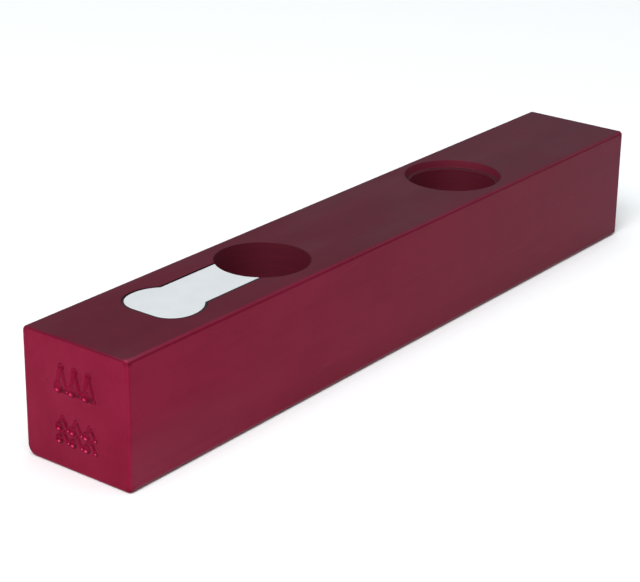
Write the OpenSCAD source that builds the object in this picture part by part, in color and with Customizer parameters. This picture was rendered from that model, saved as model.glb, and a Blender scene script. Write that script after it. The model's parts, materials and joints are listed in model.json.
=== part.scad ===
// Two-bore holding block for ring work: a solid square bar of anodised
// aluminium with two vertical bores in its top face and a white keyhole
// shaped pad bonded flush into a pocket that opens into the first bore.
// Origin: centre of the underside. +X runs along the bar, away from the
// marked end. +Z is up. All sizes are in millimetres.

/* [Bar] */
// Length of the bar
bar_l = 165; // [150:1:200]
// Side of the square section
bar_s = 25; // [25:0.5:28]
// Radius along the four long edges
edge_r = 1.0; // [0.4:0.1:1.2]
// Radius round the two ends
end_r = 0.5; // [0.3:0.1:1.0]

/* [Bores] */
// Diameter of both through bores
bore_d = 18.4; // [16:0.1:19]
// Distance from the marked end to the first bore
bore1_x = 50.6; // [48:0.1:56]
// Distance from the marked end to the second bore
bore2_x = 114.4; // [100:0.1:125]
// Diameter of the seat on top of the second bore
seat_d = 20.3; // [19.4:0.1:20.6]
// Depth of the seat
seat_h = 1.7; // [1:0.1:4]
// Bevel on the rims of the bores
rim_c = 0.15; // [0.1:0.05:0.4]

/* [Pad] */
// Distance from the marked end to the middle of the pad's head
head_x = 22.8; // [22:0.1:26]
// Radius of the pad's head
head_r = 7.6; // [7:0.1:8.2]
// Distance from the middle of the head to the flat on it
flat_in = 5.5; // [4.5:0.1:6.4]
// Corner radius beside the flat
flat_r = 5.0; // [0.8:0.1:5.2]
// Width of the pad's neck
neck_w = 11.0; // [9:0.1:12]
// Inside radius where the neck meets the head
neck_r = 0.8; // [0.5:0.1:1.2]
// Thickness of the pad
pad_h = 5.0; // [3:0.5:8]
// Thickness of the adhesive film round and under the pad
film = 0.15; // [0.1:0.05:0.25]
// How far the film stops below the top face
film_drop = 0.15; // [0.1:0.05:0.3]

/* [Marks] */
// Height of one punched mark
mark_h = 4.8; // [4:0.1:5.2]
// Width of one punched mark
mark_w = 2.5; // [2:0.1:2.8]
// Spacing of the marks along a row
mark_pitch = 3.25; // [3:0.05:3.6]
// Depth of the punched lines
mark_d = 0.42; // [0.2:0.02:0.6]
// Height of the middle of the upper row
row_hi_z = 17.6; // [17:0.1:18.5]
// Height of the middle of the lower row
row_lo_z = 7.7; // [7:0.1:8.5]

/* [Hidden] */
x0 = -bar_l / 2;          // the marked end
y0 = -bar_s / 2;          // the front side
b1 = [x0 + bore1_x, 0];
b2 = [x0 + bore2_x, 0];
pocket_h = pad_h + film;
e = 0.02;
fine = 96;

// Rectangle w by h from the origin, its corners rounded to radius r.
module soft_rect(w, h, r) {
    translate([r, 0]) square([w - 2 * r, h]);
    translate([0, r]) square([w, h - 2 * r]);
    for (x = [r, w - r], y = [r, h - r]) translate([x, y]) circle(r = r, $fn = fine);
}

// The bar before machining: three rounded extrusions at right angles.
module blank() {
    intersection() {
        translate([x0, y0, 0]) rotate([90, 0, 90]) linear_extrude(bar_l) soft_rect(bar_s, bar_s, edge_r);
        translate([x0, -y0, 0]) rotate([90, 0, 0]) linear_extrude(bar_s) soft_rect(bar_l, bar_s, end_r);
        translate([x0, y0, 0]) linear_extrude(bar_s) soft_rect(bar_l, bar_s, end_r);
    }
}

// Cutter for a through bore at p, with a bevel of size rim_c at each mouth.
// top_r is the bore's radius at the top face.
module bore_cut(p, top_r) {
    translate([p[0], p[1], -1]) cylinder(d = bore_d, h = bar_s + 2, $fn = fine);
    translate([p[0], p[1], bar_s - rim_c]) cylinder(r1 = top_r, r2 = top_r + rim_c + e, h = rim_c + e, $fn = fine);
    translate([p[0], p[1], -e]) cylinder(r1 = bore_d / 2 + rim_c + e, r2 = bore_d / 2, h = rim_c + e, $fn = fine);
}

// Points of an arc about c, from angle a0 to a1 in n steps.
function arc(c, r, a0, a1, n) = [for (i = [0:n]) let (a = a0 + (a1 - a0) * i / n) [c[0] + r * cos(a), c[1] + r * sin(a)]];

// Keyhole outline about the head's centre, grown outwards by g. The head is a
// circle with one flat; the neck runs to x = length. The upper half is worked
// out, then mirrored.
function flip(p) = [for (i = [len(p) - 1:-1:0]) [p[i][0], -p[i][1]]];
function keyhole(g, length) =
    let (R = head_r + g,
         w = neck_w / 2 + g,
         q = neck_r - g,
         s = flat_r + g,
         fx = -flat_in - g,
         nx = sqrt(pow(R + q, 2) - pow(w + q, 2)),
         na = atan2(w + q, nx),
         cx = fx + s,
         cy = sqrt(pow(R - s, 2) - pow(cx, 2)),
         ca = atan2(cy, cx),
         upper = concat([[length, w]],
                        arc([nx, w + q], q, 270, 180 + na, 6),
                        arc([0, 0], R, na, ca, 40),
                        arc([cx, cy], s, ca, 180, 12)))
    concat(upper, flip(upper));

module keyhole_solid(g, z, h) {
    translate([x0 + head_x, 0, z]) linear_extrude(h) polygon(keyhole(g, bore1_x - head_x));
}

// A straight punched line on the end face from a to b, given as [y, z]. Its
// section is a right-angled notch, mark_d deep.
module stroke(a, b) {
    v = b - a;
    l = norm(v);
    ang = atan2(v[1], v[0]);
    m = (a + b) / 2;
    translate([x0, m[0], m[1]]) rotate([ang, 0, 0]) rotate([0, 45, 0]) notch_bar(l);
}
// Square bar along Y with one edge standing mark_d inside the face.
module notch_bar(l) {
    s = mark_d * sqrt(2);
    translate([-s / 2, -l / 2, -s / 2]) cube([s, l, s]);
}

// Triangle outline, point up.
module triangle(y, z) {
    w = mark_w / 2;
    h = mark_h / 2;
    stroke([y - w, z - h], [y, z + h]);
    stroke([y, z + h], [y + w, z - h]);
    stroke([y - w, z - h], [y + w, z - h]);
}

// Pair of chevrons, one above the other.
module chevrons(y, z) {
    w = mark_w / 2;
    for (dz = [-mark_h / 2, 0]) {
        stroke([y - w, z + dz], [y, z + dz + mark_h / 2]);
        stroke([y, z + dz + mark_h / 2], [y + w, z + dz]);
    }
}

module marks() {
    for (i = [-1:1]) {
        triangle(i * mark_pitch, row_hi_z);
        chevrons(i * mark_pitch, row_lo_z);
    }
}

// The machined bar.
module bar_body() {
    color("#8c1f3d") difference() {
        blank();
        bore_cut(b1, bore_d / 2);
        bore_cut(b2, seat_d / 2);
        translate([b2[0], b2[1], bar_s - seat_h]) cylinder(d = seat_d, h = seat_h + 1, $fn = fine);
        keyhole_solid(film, bar_s - pocket_h, pocket_h + 1);
        marks();
    }
}

// The white pad. Its neck ends on the wall of the first bore.
module keyhole_pad() {
    color("#dfe3e6") difference() {
        keyhole_solid(0, bar_s - pad_h, pad_h);
        translate([b1[0], b1[1], 0]) cylinder(d = bore_d, h = bar_s + 1, $fn = fine);
    }
}

// Adhesive film: a thin open tray between the pad and its pocket.
module pad_bond_line() {
    color("#1d1015") difference() {
        keyhole_solid(film, bar_s - pocket_h, pocket_h - film_drop);
        keyhole_solid(0, bar_s - pad_h, pad_h + 1);
        translate([b1[0], b1[1], 0]) cylinder(d = bore_d, h = bar_s + 1, $fn = fine);
    }
}

bar_body();
keyhole_pad();
pad_bond_line();
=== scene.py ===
import json
import math

import bmesh
import bpy
import numpy as np
from mathutils import Matrix, Vector


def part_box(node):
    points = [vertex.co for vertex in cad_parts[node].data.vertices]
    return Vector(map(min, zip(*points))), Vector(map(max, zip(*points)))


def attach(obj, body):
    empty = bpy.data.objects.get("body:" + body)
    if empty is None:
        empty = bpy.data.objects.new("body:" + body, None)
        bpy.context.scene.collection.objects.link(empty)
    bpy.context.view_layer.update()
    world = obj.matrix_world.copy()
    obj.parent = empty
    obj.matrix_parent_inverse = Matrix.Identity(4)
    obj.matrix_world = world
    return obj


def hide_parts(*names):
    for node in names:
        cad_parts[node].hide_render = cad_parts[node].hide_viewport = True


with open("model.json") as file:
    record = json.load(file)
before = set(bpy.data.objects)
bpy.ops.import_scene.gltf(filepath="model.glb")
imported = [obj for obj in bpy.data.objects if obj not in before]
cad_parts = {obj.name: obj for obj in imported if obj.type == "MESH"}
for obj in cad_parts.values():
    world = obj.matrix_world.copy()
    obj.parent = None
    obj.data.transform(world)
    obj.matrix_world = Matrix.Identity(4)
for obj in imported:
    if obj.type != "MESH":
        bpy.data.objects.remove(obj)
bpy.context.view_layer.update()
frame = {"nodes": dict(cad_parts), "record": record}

MM = 0.001

# ----------------------------------------------------------------------------------------------------------------------
# Sizes, in millimetres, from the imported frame
# ----------------------------------------------------------------------------------------------------------------------
bar_lo, bar_hi = (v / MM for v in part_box("bar_body"))
pad_lo, pad_hi = (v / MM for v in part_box("keyhole_pad"))
film_lo, film_hi = (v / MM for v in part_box("pad_bond_line"))
mounts = {m["name"]: m for m in frame["record"]["mounts"]}


def mount(name):
    m = mounts[name]
    return m["pos_m"][0] / MM, m["pos_m"][1] / MM, m["dims"]["r_mm"]


B1X, B1Y, B1R = mount("bore_plain")
B2X, B2Y, B2R = mount("bore_stepped")
SEAT_R = mount("seat_stepped")[2]
TOP = bar_hi.z
SEAT_H = 1.7
RIM = 0.12
END_R = 0.5                      # edges round the two ends
# long edges, back top first and then round by the front; the back bottom one is worn rounder at the marked end
EDGES, WORN = (1.15, 0.85, 1.0, 1.0), (1.15, 0.85, 1.0, 2.0)
FILM = pad_lo.x - film_lo.x      # gap round the pad
SHRINK = 0.12                    # how far the pad's outline stands in from its nominal size
LIP = 0.02                       # how far the punched lips stand above the end face
HEAD_R = (pad_hi.y - pad_lo.y) / 2
ROW_Y = (pad_hi.y + pad_lo.y) / 2
NECK_W, NECK_R, FLAT_R, FLAT_IN = 11.0, 0.8, 5.0, 5.5
HEAD_X = pad_lo.x + FLAT_IN
MARK_H, MARK_W, PITCH, MARK_D = 4.8, 2.5, 3.25, 0.42
ROW_HI, ROW_LO = 17.6, 7.7


# ----------------------------------------------------------------------------------------------------------------------
# Mesh helpers
# ----------------------------------------------------------------------------------------------------------------------
def make_object(name, bm):
    """A new object from a bmesh whose vertices are in millimetres."""
    bmesh.ops.recalc_face_normals(bm, faces=bm.faces)
    mesh = bpy.data.meshes.new(name)
    bm.to_mesh(mesh)
    bm.free()
    obj = bpy.data.objects.new(name, mesh)
    bpy.context.scene.collection.objects.link(obj)
    return obj


def loft(bm, rings, cap_first=True, cap_last=True):
    """Quads between closed rings of equal count, with flat caps."""
    rows = [[bm.verts.new(p) for p in ring] for ring in rings]
    n = len(rows[0])
    for a, b in zip(rows, rows[1:]):
        for i in range(n):
            j = (i + 1) % n
            bm.faces.new((a[i], a[j], b[j], b[i]))
    if cap_first:
        bm.faces.new(list(reversed(rows[0])))
    if cap_last:
        bm.faces.new(rows[-1])
    return rows


def lathe(name, cx, cy, profile, steps=192):
    """Closed solid of revolution about a vertical axis, from (radius, height) points going up."""
    bm = bmesh.new()
    rings = [
        [(cx + r * math.cos(2 * math.pi * i / steps), cy + r * math.sin(2 * math.pi * i / steps), z) for i in range(steps)]
        for r, z in profile
    ]
    loft(bm, rings)
    return make_object(name, bm)


def arc_points(c, r, a0, a1, n):
    return [
        (c[0] + r * math.cos(math.radians(a0 + (a1 - a0) * i / n)), c[1] + r * math.sin(math.radians(a0 + (a1 - a0) * i / n)))
        for i in range(n + 1)
    ]


def keyhole(g, end=None):
    """Keyhole outline grown outwards by g, about the head's centre. With end, the neck stops on a circle of that radius about the
    first bore; without it, the neck runs on to the bore's middle."""
    R, w, q, s = HEAD_R + g, NECK_W / 2 + g, NECK_R - g, FLAT_R + g
    nx = math.sqrt((R + q) ** 2 - (w + q) ** 2)
    na = math.degrees(math.atan2(w + q, nx))
    cx = -FLAT_IN - g + s
    cy = math.sqrt((R - s) ** 2 - cx**2)
    ca = math.degrees(math.atan2(cy, cx))
    to_bore = B1X - HEAD_X
    if end is None:
        tip = [(to_bore, w)]
    else:
        a = math.degrees(math.asin(w / end))
        tip = arc_points((to_bore, 0), end, 180, 180 - a, 18)[1:]
    upper = tip + arc_points((nx, w + q), q, 270, 180 + na, 8) + arc_points((0, 0), R, na, ca, 64)[1:]
    upper += arc_points((cx, cy), s, ca, 180, 16)[1:]
    lower = [(x, -y) for x, y in reversed(upper)]
    middle = [] if end is None else [(to_bore - end, 0.0)]
    return [(HEAD_X + x, ROW_Y + y) for x, y in upper + lower + middle]


def soft_square(inset, radii, m=8):
    """Rounded square about the bar's axis, inset all round, as (y, z)."""
    half, out = TOP / 2 - inset, []
    for k, ((sy, sz), r) in enumerate(zip(((1, 1), (-1, 1), (-1, -1), (1, -1)), radii)):
        r -= inset
        for i in range(m + 1):
            a = math.radians(90 * k + 90 * i / m)
            out.append((sy * (half - r) + r * math.cos(a), sz * (half - r) + r * math.sin(a) + TOP / 2))
    return out


def boolean(target, cutters):
    """Exact boolean difference, applied to the mesh."""
    for c in cutters:
        mod = target.modifiers.new("cut", "BOOLEAN")
        mod.operation, mod.solver, mod.object = "DIFFERENCE", "EXACT", c
        bpy.context.view_layer.update()
        mesh = bpy.data.meshes.new_from_object(target.evaluated_get(bpy.context.evaluated_depsgraph_get()))
        target.modifiers.clear()
        old, target.data = target.data, mesh
        bpy.data.meshes.remove(old)
    for c in cutters:
        mesh = c.data
        bpy.data.objects.remove(c)
        bpy.data.meshes.remove(mesh)


def finish_mesh(obj, keep_smooth=None, angle=32):
    """Cleans the mesh, marks its sharp edges, smooths it and brings it to metres."""
    bm = bmesh.new()
    bm.from_mesh(obj.data)
    bmesh.ops.remove_doubles(bm, verts=bm.verts, dist=2e-4)
    bmesh.ops.dissolve_degenerate(bm, edges=bm.edges, dist=1e-5)
    bmesh.ops.recalc_face_normals(bm, faces=bm.faces)
    for f in bm.faces:
        f.smooth = True
    for e in bm.edges:
        if len(e.link_faces) == 2:
            sharp = e.calc_face_angle(0) > math.radians(angle)
            if sharp and keep_smooth and keep_smooth((e.verts[0].co + e.verts[1].co) / 2):
                sharp = False
            e.smooth = not sharp
    open_edges = sum(1 for e in bm.edges if len(e.link_faces) != 2)
    print(obj.name, "faces", len(bm.faces), "edges that don't join two faces", open_edges)
    for v in bm.verts:
        v.co *= MM
    bm.to_mesh(obj.data)
    bm.free()
    obj.data.name = obj.name
    w = obj.modifiers.new("weighted_normals", "WEIGHTED_NORMAL")
    w.mode, w.weight, w.keep_sharp = "FACE_AREA", 50, True
    return obj


# ----------------------------------------------------------------------------------------------------------------------
# Bar
# ----------------------------------------------------------------------------------------------------------------------
def mark_strokes():
    """The punched lines on the end face, each as ((y, z), (y, z))."""
    w, h, out = MARK_W / 2, MARK_H / 2, []
    for i in (-1, 0, 1):
        y, z = i * PITCH, ROW_HI
        out += [((y - w, z - h), (y, z + h)), ((y, z + h), (y + w, z - h)), ((y - w, z - h), (y + w, z - h))]
        for dz in (-h, 0):
            out += [((y - w, ROW_LO + dz), (y, ROW_LO + dz + h)), ((y, ROW_LO + dz + h), (y + w, ROW_LO + dz))]
    return out


def mark_dishes():
    """Where a punch bit deepest, at the ends of its lines, as (y, z, radius, depth)."""
    w, h, out = MARK_W / 2, MARK_H / 2, []
    for i in (-1, 0, 1):
        y, z = i * PITCH, ROW_HI
        out += [(y - w + 0.1, z - h + 0.1, 0.55, 0.40), (y + w - 0.40, z - h + 0.40, 1.15, 0.58), (y, z + h - 0.45, 0.78, 0.48)]
        for dz in (-h, 0):
            out += [(y - w + 0.1, ROW_LO + dz + 0.1, 0.50, 0.36), (y + w - 0.25, ROW_LO + dz + 0.25, 0.92, 0.52)]
            out += [(y, ROW_LO + dz + h - 0.3, 0.60, 0.42)]
    return out


def punched(y, z):
    """Depth below the end face, in millimetres, at arrays of points. Each line is a rounded notch with a deeper dish at its ends
    and a low lip beside it. Every mark was struck by hand, so each goes in a little deeper or shallower than the next."""
    d = np.full(y.shape, 9.0)
    deep = np.full(y.shape, 1.0)
    for k, ((ay, az), (by, bz)) in enumerate(mark_strokes()):
        vy, vz = by - ay, bz - az
        t = np.clip(((y - ay) * vy + (z - az) * vz) / (vy * vy + vz * vz), 0, 1)
        dk = np.hypot(y - ay - t * vy, z - az - t * vz)
        strike = 0.90 + 0.10 * math.sin(2.3 * (k // 7) + 1.1 * (k % 7 > 2) + 0.7)
        deep = np.where(dk < d, strike, deep)
        d = np.minimum(d, dk)
    w = 0.52
    u = np.clip(d / w, 0, 1)
    notch = 0.92 * MARK_D * deep * (0.5 + 0.5 * np.cos(math.pi * u))
    out = d - w
    for cy, cz, r, dep in mark_dishes():
        q = np.hypot(y - cy, z - cz)
        big = (r * r + dep * dep) / (2 * dep)
        dish = np.sqrt(np.clip(big * big - q * q, 0, None)) - (big - dep)
        notch = np.maximum(notch, np.where(q < r, dish, 0))
        out = np.minimum(out, q - r)
    lip = LIP * np.exp(-(((out - 0.15) / 0.25) ** 2))
    return notch - np.where(out > 0, lip, LIP * np.exp(-0.36) * np.clip(1 + out / 0.08, 0, 1))


def make_bar():
    bm = bmesh.new()
    k = 7
    x0, x1 = bar_lo.x + LIP, bar_hi.x
    rings = [[(x0, y, z) for y, z in soft_square(END_R + 0.25, WORN)]]
    for i in range(k + 1):
        t = math.radians(90 * i / k)
        inset, dx = END_R * (1 - math.sin(t)), END_R * (1 - math.cos(t))
        rings.append([(x0 + dx, y, z) for y, z in soft_square(inset, WORN)])
    for i in range(1, 9):
        f = 0.5 - 0.5 * math.cos(math.pi * i / 8)
        radii = [w + (e - w) * f for w, e in zip(WORN, EDGES)]
        rings.append([(x0 + END_R + 0.9 * i, y, z) for y, z in soft_square(0, radii)])
    for i in range(k + 1):
        t = math.radians(90 * i / k)
        inset, dx = END_R * (1 - math.cos(t)), END_R * (1 - math.sin(t))
        rings.append([(x1 - dx, y, z) for y, z in soft_square(inset, EDGES)])
    rings.append([(x1, y, z) for y, z in soft_square(END_R + 0.25, EDGES)])
    rows = loft(bm, rings, cap_first=False)
    # the marked end: a fine grid where the marks are, and plain faces from it out to the rounded edge
    step = 0.1
    ys = np.arange(-60, 61) * step
    zs = 12.65 + np.arange(-88, 89) * step
    Y, Z = np.meshgrid(ys, zs, indexing="ij")
    D = punched(Y, Z)
    D[0, :] = D[-1, :] = 0
    D[:, 0] = D[:, -1] = 0
    grid = [[bm.verts.new((x0 + D[i, j], Y[i, j], Z[i, j])) for j in range(len(zs))] for i in range(len(ys))]
    for i in range(len(ys) - 1):
        for j in range(len(zs) - 1):
            bm.faces.new((grid[i][j], grid[i + 1][j], grid[i + 1][j + 1], grid[i][j + 1]))
    border = [g[0] for g in grid] + grid[-1][1:] + [g[-1] for g in reversed(grid[:-1])] + list(reversed(grid[0][1:-1]))
    edges = []
    for loop in (rows[0], border):
        for a, b in zip(loop, loop[1:] + loop[:1]):
            edges.append(bm.edges.get((a, b)) or bm.edges.new((a, b)))
    bmesh.ops.triangle_fill(bm, use_beauty=True, edges=edges)
    bar = make_object("bar", bm)

    def rim(r, z, up=True, n=5):
        """Rounded rim of a bore of radius r at the face z, as profile points going up."""
        out = []
        for i in range(n + 1):
            a = math.radians(90 * i / n)
            out.append((r + RIM * (1 - math.cos(a)), z - RIM + RIM * math.sin(a)))
        if not up:
            out = [(rr, 2 * z - zz) for rr, zz in reversed(out)]
        return out

    plain = [(B1R + RIM, -1)] + rim(B1R, 0, up=False) + rim(B1R, TOP) + [(B1R + RIM, TOP + 1)]
    ledge = TOP - SEAT_H
    stepped = [(B2R + RIM, -1)] + rim(B2R, 0, up=False)
    stepped += [(B2R, ledge - 0.12), (B2R + 0.04, ledge - 0.04), (B2R + 0.12, ledge)]
    stepped += [(SEAT_R - 0.15, ledge), (SEAT_R - 0.05, ledge + 0.05), (SEAT_R, ledge + 0.15)]
    stepped += rim(SEAT_R, TOP) + [(SEAT_R + RIM, TOP + 1)]
    cut1 = lathe("cut1", B1X, B1Y, plain)
    cut2 = lathe("cut2", B2X, B2Y, stepped)
    bm = bmesh.new()
    levels = [(FILM, film_lo.z), (FILM, TOP - 0.12), (FILM + 0.05, TOP - 0.07), (FILM + 0.14, TOP - 0.03)]
    levels += [(FILM + 0.21, TOP + 0.001), (FILM + 0.21, TOP + 1)]
    loft(bm, [[(x, y, z) for x, y in keyhole(g)] for g, z in levels])
    pocket = make_object("pocket", bm)
    boolean(bar, [cut1, cut2, pocket])
    return finish_mesh(bar, keep_smooth=lambda c: c.x < bar_lo.x + 0.55 and abs(c.y) < 5.9 and abs(c.z - 12.65) < 8.7)


# ----------------------------------------------------------------------------------------------------------------------
# Pad
# ----------------------------------------------------------------------------------------------------------------------
def make_pad():
    # fly-cutting rounds the white plastic's corner over, which widens the dark line round it
    bm = bmesh.new()
    rings = [(0.0, pad_lo.z + 0.1), (0.0, TOP - 0.14)]
    for i in range(1, 6):
        a = math.radians(90 * i / 5)
        rings.append((-0.14 * (1 - math.cos(a)), TOP - 0.14 + 0.14 * math.sin(a) - 0.004))
    rings.insert(0, (-0.1, pad_lo.z))
    rings.append((-0.6, TOP - 0.002))
    rings.append((-1.4, TOP))
    rows = [[(x, y, z) for x, y in keyhole(g - SHRINK, end=B1R - g)] for g, z in rings]
    loft(bm, rows)
    return finish_mesh(make_object("pad", bm), angle=50)


# ----------------------------------------------------------------------------------------------------------------------
# Materials
# ----------------------------------------------------------------------------------------------------------------------
class Nodes:
    """Short names for building a material's node tree. Coordinates are object space, in millimetres."""

    def __init__(self, name):
        self.mat = bpy.data.materials.new(name)
        self.mat.use_nodes = True
        self.tree = self.mat.node_tree
        self.tree.nodes.clear()
        self.out = self.tree.nodes.new("ShaderNodeOutputMaterial")
        self.bsdf = self.tree.nodes.new("ShaderNodeBsdfPrincipled")
        self.tree.links.new(self.bsdf.outputs["BSDF"], self.out.inputs["Surface"])
        coords = self.tree.nodes.new("ShaderNodeTexCoord")
        self.mm = self.vmath("SCALE", coords.outputs["Object"], scale=1 / MM)
        sep = self.tree.nodes.new("ShaderNodeSeparateXYZ")
        self.tree.links.new(self.mm, sep.inputs[0])
        self.x, self.y, self.z = sep.outputs

    def put(self, socket, value):
        if isinstance(value, bpy.types.NodeSocket):
            self.tree.links.new(value, socket)
        else:
            socket.default_value = value

    def vmath(self, op, a, b=None, scale=None):
        n = self.tree.nodes.new("ShaderNodeVectorMath")
        n.operation = op
        self.put(n.inputs[0], a)
        if b is not None:
            self.put(n.inputs[1], b)
        if scale is not None:
            n.inputs["Scale"].default_value = scale
        return n.outputs["Value"] if op in ("LENGTH", "DOT_PRODUCT") else n.outputs["Vector"]

    def math(self, op, a, b=0.0, c=0.0, clamp=False):
        n = self.tree.nodes.new("ShaderNodeMath")
        n.operation, n.use_clamp = op, clamp
        for s, v in zip(n.inputs, (a, b, c)):
            self.put(s, v)
        return n.outputs[0]

    def add(self, a, b):
        return self.math("ADD", a, b)

    def mul(self, a, b):
        return self.math("MULTIPLY", a, b)

    def ramp(self, v, lo, hi, a=0.0, b=1.0, smooth=True):
        n = self.tree.nodes.new("ShaderNodeMapRange")
        n.interpolation_type = "SMOOTHSTEP" if smooth else "LINEAR"
        n.clamp = True
        for s, val in zip(n.inputs, (v, lo, hi, a, b)):
            self.put(s, val)
        return n.outputs[0]

    def stretched(self, sx, sy, sz, offset=0.0):
        return self.vmath("ADD", self.vmath("MULTIPLY", self.mm, (sx, sy, sz)), (offset, offset * 0.7, offset * 1.3))

    def noise(self, vector, scale=1.0, detail=2.0, rough=0.5, distortion=0.0):
        n = self.tree.nodes.new("ShaderNodeTexNoise")
        self.put(n.inputs["Vector"], vector)
        n.inputs["Scale"].default_value = scale
        n.inputs["Detail"].default_value = detail
        n.inputs["Roughness"].default_value = rough
        n.inputs["Distortion"].default_value = distortion
        return n.outputs[0]

    def mix(self, f, a, b):
        n = self.tree.nodes.new("ShaderNodeMix")
        n.data_type = "RGBA"
        self.put(n.inputs["Factor"], f)
        for s, v in ((n.inputs[6], a), (n.inputs[7], b)):
            self.put(s, v if isinstance(v, bpy.types.NodeSocket) else (*v, 1.0))
        return n.outputs[2]

    def bump(self, height, distance_mm, strength=1.0, normal=None):
        n = self.tree.nodes.new("ShaderNodeBump")
        n.inputs["Strength"].default_value = strength
        n.inputs["Distance"].default_value = distance_mm * MM
        self.put(n.inputs["Height"], height)
        if normal is not None:
            self.put(n.inputs["Normal"], normal)
        return n.outputs[0]

    def set(self, **values):
        for k, v in values.items():
            self.put(self.bsdf.inputs[k.replace("_", " ")], v)


def scratches(n, vector, scale, width, keep, offset):
    """Thin, sparse, slightly bent lines: where a warped stretched noise crosses its middle value."""
    a = n.noise(vector, scale, 1.0, 0.4, 0.3)
    line = n.ramp(n.math("ABSOLUTE", n.math("SUBTRACT", a, 0.5)), 0.0, width, 1.0, 0.0)
    return n.mul(line, n.ramp(n.noise(n.stretched(0.05, 0.22, 0.22, offset), 1.0, 2.0), keep, keep + 0.08))


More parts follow.
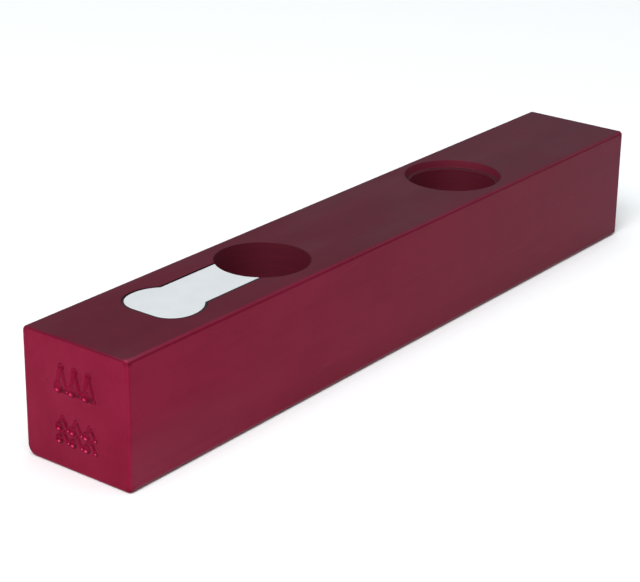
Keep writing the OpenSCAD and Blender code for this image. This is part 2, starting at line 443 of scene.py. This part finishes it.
def build_anodised():
    n = Nodes("anodised_red")
    t = n.tree

    def combine(x, y=0.0, z=0.0):
        c = t.nodes.new("ShaderNodeCombineXYZ")
        for s, v in zip(c.inputs, (x, y, z)):
            n.put(s, v)
        return c.outputs[0]

    flat = (1.0, 1.0, 0.0)
    r1 = n.vmath("LENGTH", n.vmath("MULTIPLY", n.vmath("SUBTRACT", n.mm, (B1X, B1Y, 0)), flat))
    r2 = n.vmath("LENGTH", n.vmath("MULTIPLY", n.vmath("SUBTRACT", n.mm, (B2X, B2Y, 0)), flat))
    in_bore = n.math("MAXIMUM", n.ramp(r1, B1R + 0.02, B1R + 0.1, 1, 0), n.ramp(r2, SEAT_R + 0.02, SEAT_R + 0.1, 1, 0))
    rim1 = n.math("MAXIMUM", n.math("ABSOLUTE", n.math("SUBTRACT", r1, B1R + RIM / 2)), n.math("SUBTRACT", TOP, n.z))
    rim2 = n.math("MAXIMUM", n.math("ABSOLUTE", n.math("SUBTRACT", r2, SEAT_R + RIM / 2)), n.math("SUBTRACT", TOP, n.z))
    dx = n.math("SUBTRACT", bar_hi.x, n.math("ABSOLUTE", n.x))
    dy = n.math("SUBTRACT", bar_hi.y, n.math("ABSOLUTE", n.y))
    dz = n.math("SUBTRACT", TOP / 2, n.math("ABSOLUTE", n.math("SUBTRACT", n.z, TOP / 2)))
    second = n.math("MAXIMUM", n.math("MINIMUM", dx, dy), n.math("MINIMUM", n.math("MAXIMUM", dx, dy), dz))
    near_edge = n.math("MINIMUM", second, n.add(n.math("MINIMUM", rim1, rim2), 0.3))
    corner = n.ramp(n.math("MAXIMUM", dx, n.math("MAXIMUM", dy, dz)), 0.5, 1.6, 1, 0)
    on_end = n.mul(n.ramp(dx, 0.3, 0.7, 1, 0), n.math("SUBTRACT", 1.0, in_bore))

    drawn = n.noise(n.stretched(0.012, 5.5, 5.5), 1.0, 4.0, 0.62)
    drawn_wide = n.noise(n.stretched(0.006, 0.8, 0.8, 31.0), 1.0, 3.0, 0.5)
    grain = n.noise(n.mm, 6.0, 3.0, 0.6)
    cloud = n.noise(n.stretched(0.05, 0.12, 0.12, 7.0), 1.0, 3.0, 0.55)
    # faced ends carry fine arcs, and bored walls fine rings with a slow drift
    swing = n.vmath("LENGTH", n.vmath("MULTIPLY", n.vmath("SUBTRACT", n.mm, (0, -34, 44)), (0, 1, 1)))
    faced = n.noise(combine(n.mul(swing, 4.5)), 1.0, 3.0, 0.6)
    turned = n.noise(combine(n.mul(n.z, 5.0), n.mul(n.x, 0.03), n.mul(n.y, 0.03)), 1.0, 3.0, 0.6)
    rings = n.math("SINE", n.add(n.mul(n.z, 2 * math.pi / 0.3), n.mul(grain, 2.0)))
    ledge = n.noise(combine(n.mul(r2, 6.0)), 1.0, 2.0, 0.5)

    def blend(a, b, f):
        return n.add(n.mul(a, n.math("SUBTRACT", 1.0, f)), n.mul(b, f))

    lines = blend(blend(drawn, faced, on_end), n.add(n.mul(turned, 0.8), n.add(n.mul(rings, 0.05), 0.1)), in_bore)
    scr = n.math(
        "MAXIMUM",
        scratches(n, n.stretched(0.045, 0.6, 0.6, 3.0), 1.0, 0.006, 0.56, 11.0),
        scratches(n, n.stretched(0.22, 0.35, 0.3, 17.0), 1.0, 0.005, 0.60, 23.0),
    )
    facing = t.nodes.new("ShaderNodeTexCoord")
    turn = t.nodes.new("ShaderNodeSeparateXYZ")
    t.links.new(facing.outputs["Normal"], turn.inputs[0])
    level = n.ramp(turn.outputs[2], 0.5, 0.8)
    front = n.ramp(turn.outputs[1], -0.8, -0.97)
    # dye: deepest on the flats, thinner and paler along the edges, uneven in a slow cloud and along the drawn lines
    deep, light, pale = (0.222, 0.0060, 0.0310), (0.258, 0.0098, 0.0400), (0.36, 0.030, 0.078)
    shade = n.add(n.mul(cloud, 0.55), n.add(n.mul(lines, 0.25), n.mul(drawn_wide, 0.20)))
    colour = n.mix(n.ramp(shade, 0.36, 0.64), deep, light)
    worn = n.ramp(n.add(near_edge, n.mul(n.math("SUBTRACT", n.noise(n.mm, 0.9, 4.0, 0.7), 0.5), 0.9)), 0.05, 0.55, 0.22, 0.0)
    colour = n.mix(worn, colour, pale)
    colour = n.mix(n.mul(scr, 0.35), colour, pale)
    # turned walls are finer torn metal: they scatter light more than the drawn faces do
    # painted shade: darker towards the far end, most of all on the front
    far = n.ramp(n.x, bar_lo.x, bar_hi.x, smooth=False)
    colour = n.mix(n.add(n.mul(far, 0.12), n.mul(front, n.add(0.20, n.mul(far, 0.22)))), colour, (0.0, 0.0, 0.0))
    # painted light: the top is lighter and redder towards the marked end
    colour = n.mix(n.mul(n.mul(level, 0.15), n.math("SUBTRACT", 1.0, far)), colour, (0.46, 0.012, 0.055))
    # painted sheen: a pale bluish grey low on the front, towards the marked end
    low_front_sheen = n.mul(n.mul(front, n.ramp(n.z, 15.0, 3.0, 0, 1)), n.mul(n.ramp(n.x, bar_lo.x + 45, bar_lo.x, 0, 1), 0.045))
    colour = n.mix(low_front_sheen, colour, (0.20, 0.23, 0.27))
    # painted sheen: the top is greyed towards a pale bluish grey, in blotches and more towards the far end
    top_sheen_blotches = n.ramp(n.noise(n.stretched(0.035, 0.09, 0.09, 51.0), 1.0, 3.0), 0.42, 0.68, 0.0, 0.07)
    colour = n.mix(n.mul(level, n.add(n.add(0.055, top_sheen_blotches), n.mul(far, 0.07))), colour, (0.20, 0.23, 0.27))
    # the bore walls take a darker dye than the flats: partly their own finish, partly painted shade inside the bores
    wall = n.mix(n.ramp(turned, 0.35, 0.65), (0.125, 0.0065, 0.020), (0.155, 0.0085, 0.026))
    # painted light: the seat's wall, nearest the top, is lighter than the bore below it
    seat = n.mul(n.ramp(r2, SEAT_R - 0.2, SEAT_R - 0.1), n.ramp(n.z, TOP - SEAT_H, TOP - SEAT_H + 0.2))
    seat = n.mul(seat, n.ramp(r2, SEAT_R + 0.4, SEAT_R + 0.2, 0, 1))
    # painted shade: the ledge at the foot of the seat is painted dark
    step = n.mul(n.ramp(r2, SEAT_R + 0.05, SEAT_R, 0, 1), level)
    wall = n.mix(seat, wall, (0.205, 0.012, 0.036))
    wall = n.mix(step, wall, (0.05, 0.004, 0.010))
    colour = n.mix(in_bore, colour, wall)
    # painted shade: the rounded rims of both bores are darkened
    rim = n.ramp(n.math("MINIMUM", rim1, rim2), 0.05, 0.16, 0.7, 0.0)
    colour = n.mix(rim, colour, (0.05, 0.004, 0.010))
    # the pocket's walls and chamfer round the pad are painted near-black
    pocket = n.mul(n.ramp(n.math("ABSOLUTE", n.y), HEAD_R + 0.6, HEAD_R + 0.4, 0, 1), n.ramp(n.z, TOP - 0.002, TOP - 0.012, 0, 1))
    pocket = n.mul(pocket, n.mul(n.ramp(n.x, film_lo.x - 0.4, film_lo.x - 0.2), n.ramp(n.x, B1X, B1X - 0.1, 0, 1)))
    pocket = n.mul(pocket, n.mul(n.ramp(n.z, film_lo.z - 0.2, film_lo.z - 0.1), n.math("SUBTRACT", 1.0, in_bore)))
    colour = n.mix(pocket, colour, (0.020, 0.005, 0.009))
    rough = n.add(0.315, n.add(n.mul(lines, 0.10), n.add(n.mul(cloud, 0.06), n.mul(grain, 0.03))))
    rough = n.add(n.math("SUBTRACT", rough, n.mul(scr, 0.06)), n.add(n.mul(in_bore, 0.20), n.add(n.mul(step, 0.35), n.mul(corner, 0.30))))
    metal = n.math("SUBTRACT", 1.0, n.mul(in_bore, 0.65))
    height = n.add(n.mul(lines, 1.0), n.add(n.mul(grain, 0.5), n.mul(scr, -0.8)))
    normal = n.bump(height, 0.012, 0.55)
    normal = n.bump(drawn_wide, 0.02, 0.25, normal)
    n.set(Base_Color=colour, Roughness=rough, Metallic=metal, Normal=normal)
    n.bsdf.inputs["Specular Tint"].default_value = (1.0, 0.92, 0.95, 1.0)
    return n.mat


def build_pad():
    n = Nodes("pad_white")
    grain = n.noise(n.mm, 9.0, 3.0, 0.6)
    cloud = n.noise(n.mm, 0.25, 3.0, 0.5)
    # fly-cut: shallow parallel arcs, swept about a point far to the side
    swing = n.vmath("LENGTH", n.vmath("MULTIPLY", n.vmath("SUBTRACT", n.mm, (-70, 42, 0)), (1, 1, 0)))
    cut = n.math("SINE", n.mul(swing, 2 * math.pi / 0.42))
    lines = n.noise(n.vmath("MULTIPLY", n.mm, (2.2, 2.2, 9.0)), 1.0, 3.0, 0.6)
    scr = scratches(n, n.stretched(0.35, 0.5, 0.3, 5.0), 1.0, 0.006, 0.52, 41.0)
    edge = n.ramp(n.math("SUBTRACT", TOP, n.z), 0.02, 0.25, 0.0, 1.0)
    colour = n.mix(n.ramp(n.add(n.mul(cloud, 0.7), n.mul(lines, 0.3)), 0.35, 0.65), (0.543, 0.560, 0.569), (0.565, 0.582, 0.591))
    colour = n.mix(n.mul(scr, 0.25), colour, (0.44, 0.46, 0.48))
    # the side wall is painted near-black right up to the rounded corner, but not the neck's end in the bore
    r1 = n.vmath("LENGTH", n.vmath("MULTIPLY", n.vmath("SUBTRACT", n.mm, (B1X, B1Y, 0)), (1.0, 1.0, 0.0)))
    dark_side_band = n.mul(n.ramp(n.math("SUBTRACT", TOP, n.z), 0.05, 0.11, 0.0, 0.97), n.ramp(r1, B1R + 0.08, B1R + 0.2))
    # painted shade: the pad's side wall greys further down from the top
    colour = n.mix(n.mul(edge, 0.3), colour, (0.40, 0.39, 0.39))
    colour = n.mix(dark_side_band, colour, (0.030, 0.012, 0.016))
    rough = n.add(0.42, n.add(n.mul(grain, 0.10), n.mul(cloud, 0.06)))
    height = n.add(n.mul(cut, 0.25), n.add(n.mul(grain, 0.6), n.mul(scr, -0.6)))
    n.set(Base_Color=colour, Roughness=rough, Metallic=0.0, Normal=n.bump(height, 0.006, 0.5))
    n.bsdf.inputs["Subsurface Weight"].default_value = 0.12
    n.bsdf.inputs["Subsurface Radius"].default_value = (0.0012, 0.0012, 0.0012)
    n.bsdf.inputs["Subsurface Scale"].default_value = 1.0
    n.bsdf.inputs["IOR"].default_value = 1.48
    return n.mat


def build_bond():
    n = Nodes("bond_dark")
    grain = n.noise(n.mm, 4.0, 3.0, 0.6)
    colour = n.mix(n.ramp(grain, 0.35, 0.7), (0.012, 0.006, 0.008), (0.035, 0.014, 0.02))
    n.set(Base_Color=colour, Roughness=n.add(0.45, n.mul(grain, 0.25)), Metallic=0.0, Normal=n.bump(grain, 0.05, 0.6))
    return n.mat


def build_floor():
    n = Nodes("floor_pale")
    cloud = n.noise(n.mm, 0.004, 3.0, 0.5)
    n.set(Base_Color=n.mix(cloud, (0.87, 0.87, 0.872), (0.885, 0.885, 0.885)), Roughness=0.75, Metallic=0.0)
    n.bsdf.inputs["Specular IOR Level"].default_value = 0.15
    return n.mat


def dress(obj, material):
    obj.data.materials.clear()
    obj.data.materials.append(material)


bar = make_bar()
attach(bar, "root")
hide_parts("bar_body")
dress(bar, build_anodised())

pad = make_pad()
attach(pad, "root")
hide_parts("keyhole_pad")
dress(pad, build_pad())

bond = frame["nodes"]["pad_bond_line"]
bond.data.materials.clear()
bond.data.materials.append(build_bond())

# ----------------------------------------------------------------------------------------------------------------------
# Floor, light and camera
# ----------------------------------------------------------------------------------------------------------------------
bm = bmesh.new()
bmesh.ops.create_grid(bm, x_segments=8, y_segments=8, size=3000)
for v in bm.verts:
    v.co *= MM
floor = make_object("floor", bm)
floor.data.materials.append(build_floor())

world = bpy.data.worlds.new("studio")
bpy.context.scene.world = world
world.use_nodes = True
wt = world.node_tree
wt.nodes.clear()
w_out = wt.nodes.new("ShaderNodeOutputWorld")
w_bg = wt.nodes.new("ShaderNodeBackground")
w_tc = wt.nodes.new("ShaderNodeTexCoord")
w_sep = wt.nodes.new("ShaderNodeSeparateXYZ")
w_ramp = wt.nodes.new("ShaderNodeFloatCurve")
curve = w_ramp.mapping.curves[0]
for s_el, strength in ((0.0, 0.22), (0.25, 0.28), (0.40, 0.30), (0.55, 0.29), (0.70, 0.36), (0.85, 0.95), (1.0, 1.45)):
    if s_el in (0.0, 1.0):
        curve.points[int(s_el)].location = (s_el, strength / 3)
    else:
        curve.points.new(s_el, strength / 3)
w_ramp.mapping.update()
wt.links.new(w_tc.outputs["Generated"], w_sep.inputs[0])
wt.links.new(w_sep.outputs[2], w_ramp.inputs["Value"])


def sky_patch(toward, inner, outer, lo, hi):
    """A soft round patch of the sky: lo away from the direction given, hi inside it."""
    dot = wt.nodes.new("ShaderNodeVectorMath")
    dot.operation = "DOT_PRODUCT"
    dot.inputs[1].default_value = Vector(toward).normalized()
    span = wt.nodes.new("ShaderNodeMapRange")
    span.interpolation_type = "SMOOTHSTEP"
    for sock, v in zip(list(span.inputs)[1:5], (outer, inner, lo, hi)):
        sock.default_value = v
    wt.links.new(w_tc.outputs["Generated"], dot.inputs[0])
    wt.links.new(dot.outputs["Value"], span.inputs[0])
    return span.outputs[0]


def sky_math(op, a, b):
    node = wt.nodes.new("ShaderNodeMath")
    node.operation = op
    for sock, v in zip(node.inputs, (a, b)):
        if isinstance(v, (int, float)):
            sock.default_value = v
        else:
            wt.links.new(v, sock)
    return node.outputs[0]


# darker low down off the far end and high at the back; pale reflectors at the front right and low on the left
sky = sky_math("MULTIPLY", w_ramp.outputs[0], 3.0)
sky = sky_math("MULTIPLY", sky, sky_patch((0.93, -0.37, 0.0), 0.985, 0.925, 1.0, 0.70))
sky = sky_math("MULTIPLY", sky, sky_patch((0.0, 0.58, 0.81), 0.97, 0.84, 1.0, 0.40))
sky = sky_math("ADD", sky, sky_patch((0.62, -0.46, 0.64), 0.975, 0.85, 0.0, 0.14))
sky = sky_math("ADD", sky, sky_patch((0.56, -0.83, 0.10), 0.985, 0.925, 0.0, 0.25))
sky = sky_math("ADD", sky, sky_patch((0.76, -0.52, 0.30), 0.96, 0.88, 0.0, 0.36))
sky = sky_math("ADD", sky, sky_patch((-0.79, 0.61, 0.0), 0.97, 0.55, 0.0, 0.30))
wt.links.new(sky, w_bg.inputs["Strength"])
w_bg.inputs["Color"].default_value = (0.94, 1.0, 1.03, 1.0)
wt.links.new(w_bg.outputs[0], w_out.inputs[0])


def area(name, place, target, size, watts, colour=(1, 1, 1)):
    light = bpy.data.lights.new(name, "AREA")
    light.shape, light.size, light.size_y = "RECTANGLE", size[0], size[1]
    light.energy, light.color = watts, colour
    obj = bpy.data.objects.new(name, light)
    bpy.context.scene.collection.objects.link(obj)
    obj.location = place
    obj.rotation_euler = (Vector(target) - Vector(place)).to_track_quat("-Z", "Y").to_euler()
    return obj


area("key_top", (-0.1, -0.1, 1.5), (0, 0, 0), (1.4, 1.4), 8.3)
area("glint", (-0.70, -0.17, 0.79), (-0.08, 0, 0.012), (0.46, 0.46), 7)

cam_data = bpy.data.cameras.new("camera")
cam = bpy.data.objects.new("camera", cam_data)
bpy.context.scene.collection.objects.link(cam)
cam_data.sensor_fit = "HORIZONTAL"
cam_data.sensor_width = 36.0
cam_data.lens = 110.06
cam_data.clip_start, cam_data.clip_end = 0.01, 20.0
right = Vector((0.612713, -0.790214, 0.012081))
up = Vector((0.29233, 0.240815, 0.9255))
ahead = Vector((0.734252, 0.563534, -0.378554))
rot = Matrix((right, up, -ahead)).transposed()
cam.matrix_world = Matrix.Translation((-0.29811, -0.218137, 0.159346)) @ rot.to_4x4()
bpy.context.scene.camera = cam

scene = bpy.context.scene
scene.view_settings.view_transform = "Standard"
scene.view_settings.look = "None"
